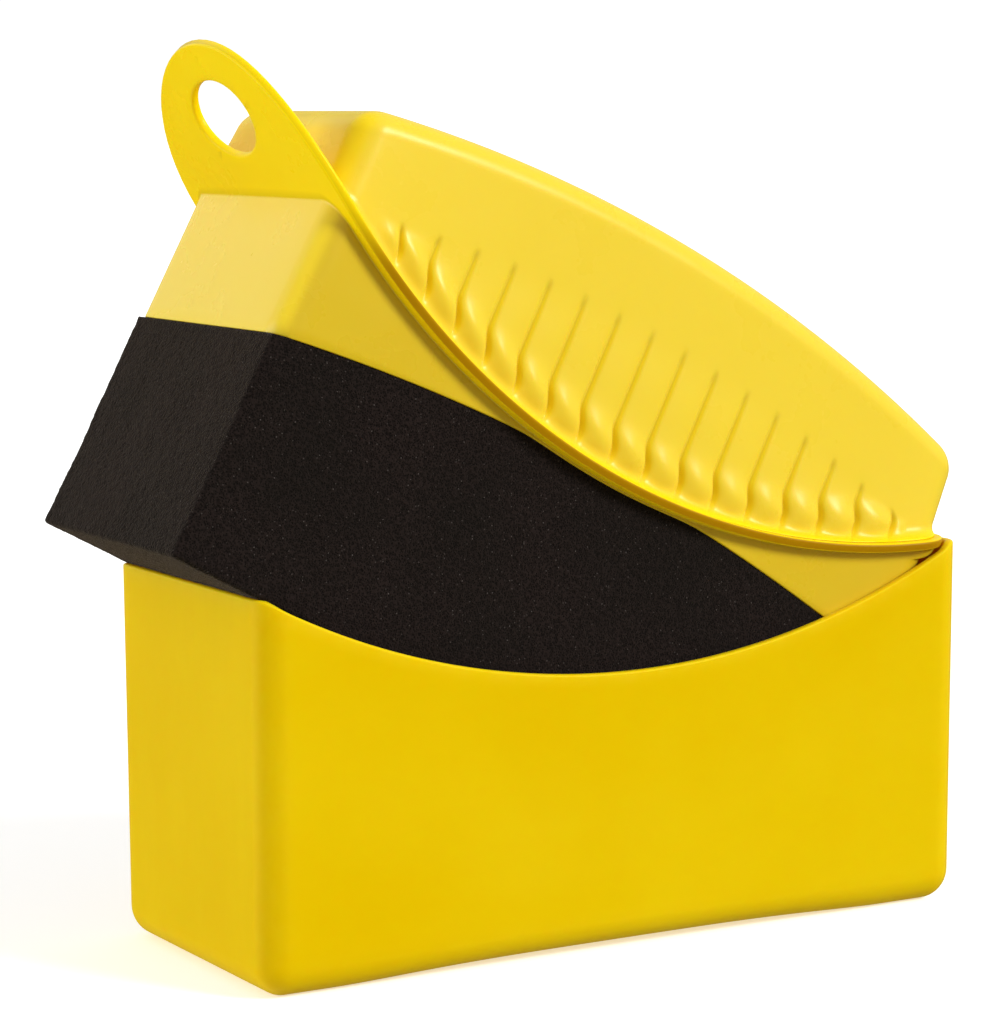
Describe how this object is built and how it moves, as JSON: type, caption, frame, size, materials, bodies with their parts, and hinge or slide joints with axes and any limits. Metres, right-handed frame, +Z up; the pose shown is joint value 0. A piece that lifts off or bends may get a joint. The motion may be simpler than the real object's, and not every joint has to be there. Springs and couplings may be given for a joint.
{
  "type": "tyre dressing applicator with storage box",
  "caption": "Moulded grip with finger grooves, a hang tab and a thick foam pad, leaning in its open storage box with arched rims.",
  "frame": {"origin": "centre of the storage box's flat underside", "axes": "+X along the box's length, from the raised hang-tab end to the end where the flange tip rests; +Y across to the far long side; +Z up"},
  "size_m": [0.1726, 0.0646, 0.1709],
  "materials": {
    "box_yellow": "satin",
    "handle_yellow": "satin",
    "plate_yellow": "matte",
    "adhesive": "satin",
    "foam_black": "matte"
  },
  "bodies": {
    "box": {"storage_box": "box_yellow"},
    "applicator": {"handle_shell": "handle_yellow", "sponge_plate": "plate_yellow", "adhesive_film": "adhesive", "sponge_pad": "foam_black"}
  },
  "joints": [
    {"name": "applicator_lift", "type": "slide", "parent": "box", "child": "applicator", "axis": [0, 0, 1], "range_m": [0, 0.1]}
  ]
}
